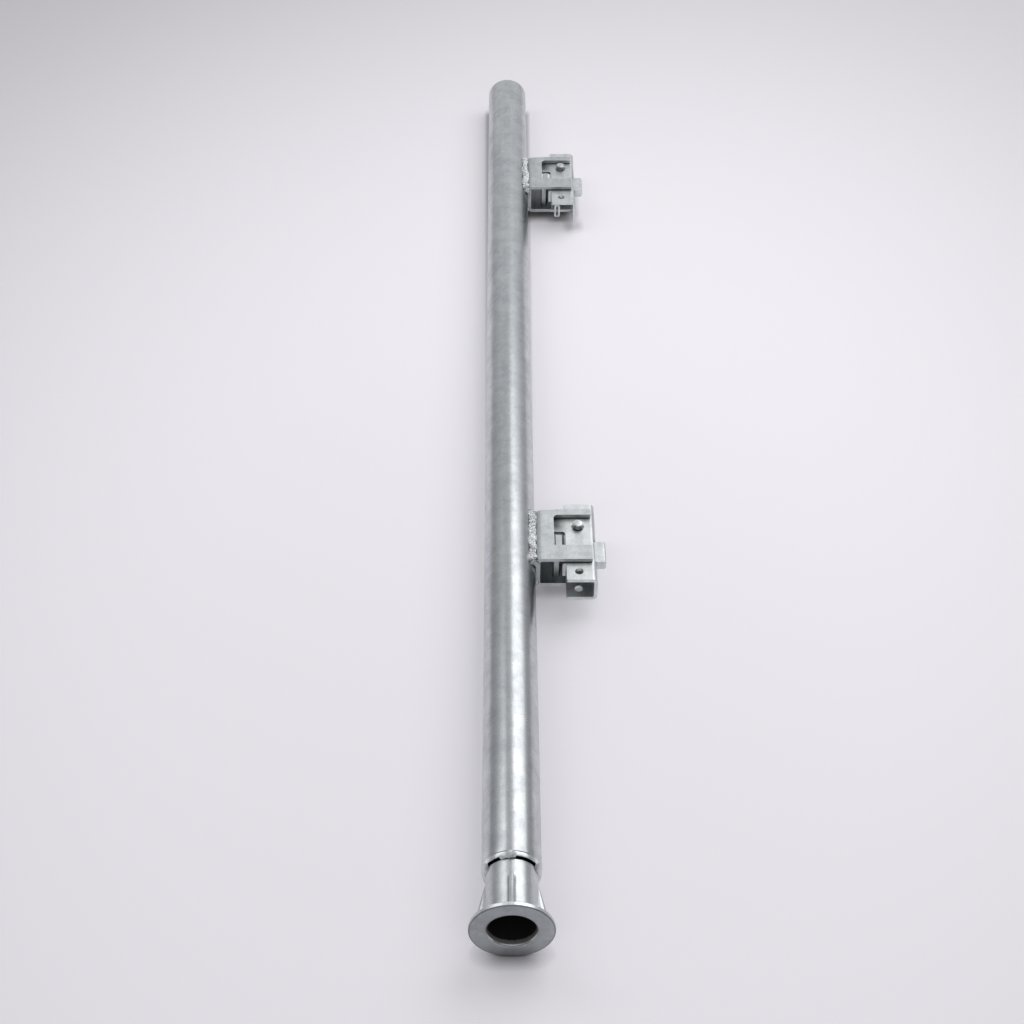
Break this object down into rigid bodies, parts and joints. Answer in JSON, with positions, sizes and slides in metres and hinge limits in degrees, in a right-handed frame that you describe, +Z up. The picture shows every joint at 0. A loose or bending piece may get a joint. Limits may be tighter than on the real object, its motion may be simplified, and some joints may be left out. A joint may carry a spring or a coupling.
{
  "type": "edge protection post",
  "caption": "Galvanised tubular post with a flanged, ribbed socket foot and side brackets whose sliding catches hold barrier panels at a slab edge.",
  "frame": {"origin": "centre of the foot's end face, on the tube's axis", "axes": "+Y along the tube from the foot to the top, +X from the tube towards the brackets, +Z up from the surface that the post lies on"},
  "size_m": [0.1246, 1.306, 0.068],
  "materials": {
    "galvanised_tube": "hot-dip galvanised, satin, faintly mottled",
    "galvanised_foot": "hot-dip galvanised casting, satin",
    "galvanised_plate": "hot-dip galvanised plate, satin",
    "galvanised_sheet": "hot-dip galvanised folded sheet, satin",
    "weld_metal": "rippled weld bead under zinc, bright",
    "zinc_pin": "zinc-plated, bright"
  },
  "bodies": {
    "post": {"post_tube": "galvanised_tube", "foot_socket": "galvanised_foot", "foot_weld": "weld_metal", "lower_bracket": "galvanised_plate", "lower_bracket_weld": "weld_metal", "lower_guide_bar": "galvanised_plate", "upper_bracket": "galvanised_plate", "upper_bracket_weld": "weld_metal", "upper_guide_bar": "galvanised_plate"},
    "lower_catch": {"lower_slide": "galvanised_sheet", "lower_stop_pin": "zinc_pin", "lower_pin_washer": "zinc_pin", "lower_thumb_block": "galvanised_sheet"},
    "upper_catch": {"upper_slide": "galvanised_sheet", "upper_stop_pin": "zinc_pin", "upper_pin_washer": "zinc_pin", "upper_thumb_block": "galvanised_sheet"}
  },
  "joints": [
    {"name": "lower_catch_slide", "type": "slide", "parent": "post", "child": "lower_catch", "axis": [0, 1, 0], "range_m": [0, 0.0065]},
    {"name": "upper_catch_slide", "type": "slide", "parent": "post", "child": "upper_catch", "axis": [0, 1, 0], "range_m": [0, 0.0065]}
  ]
}
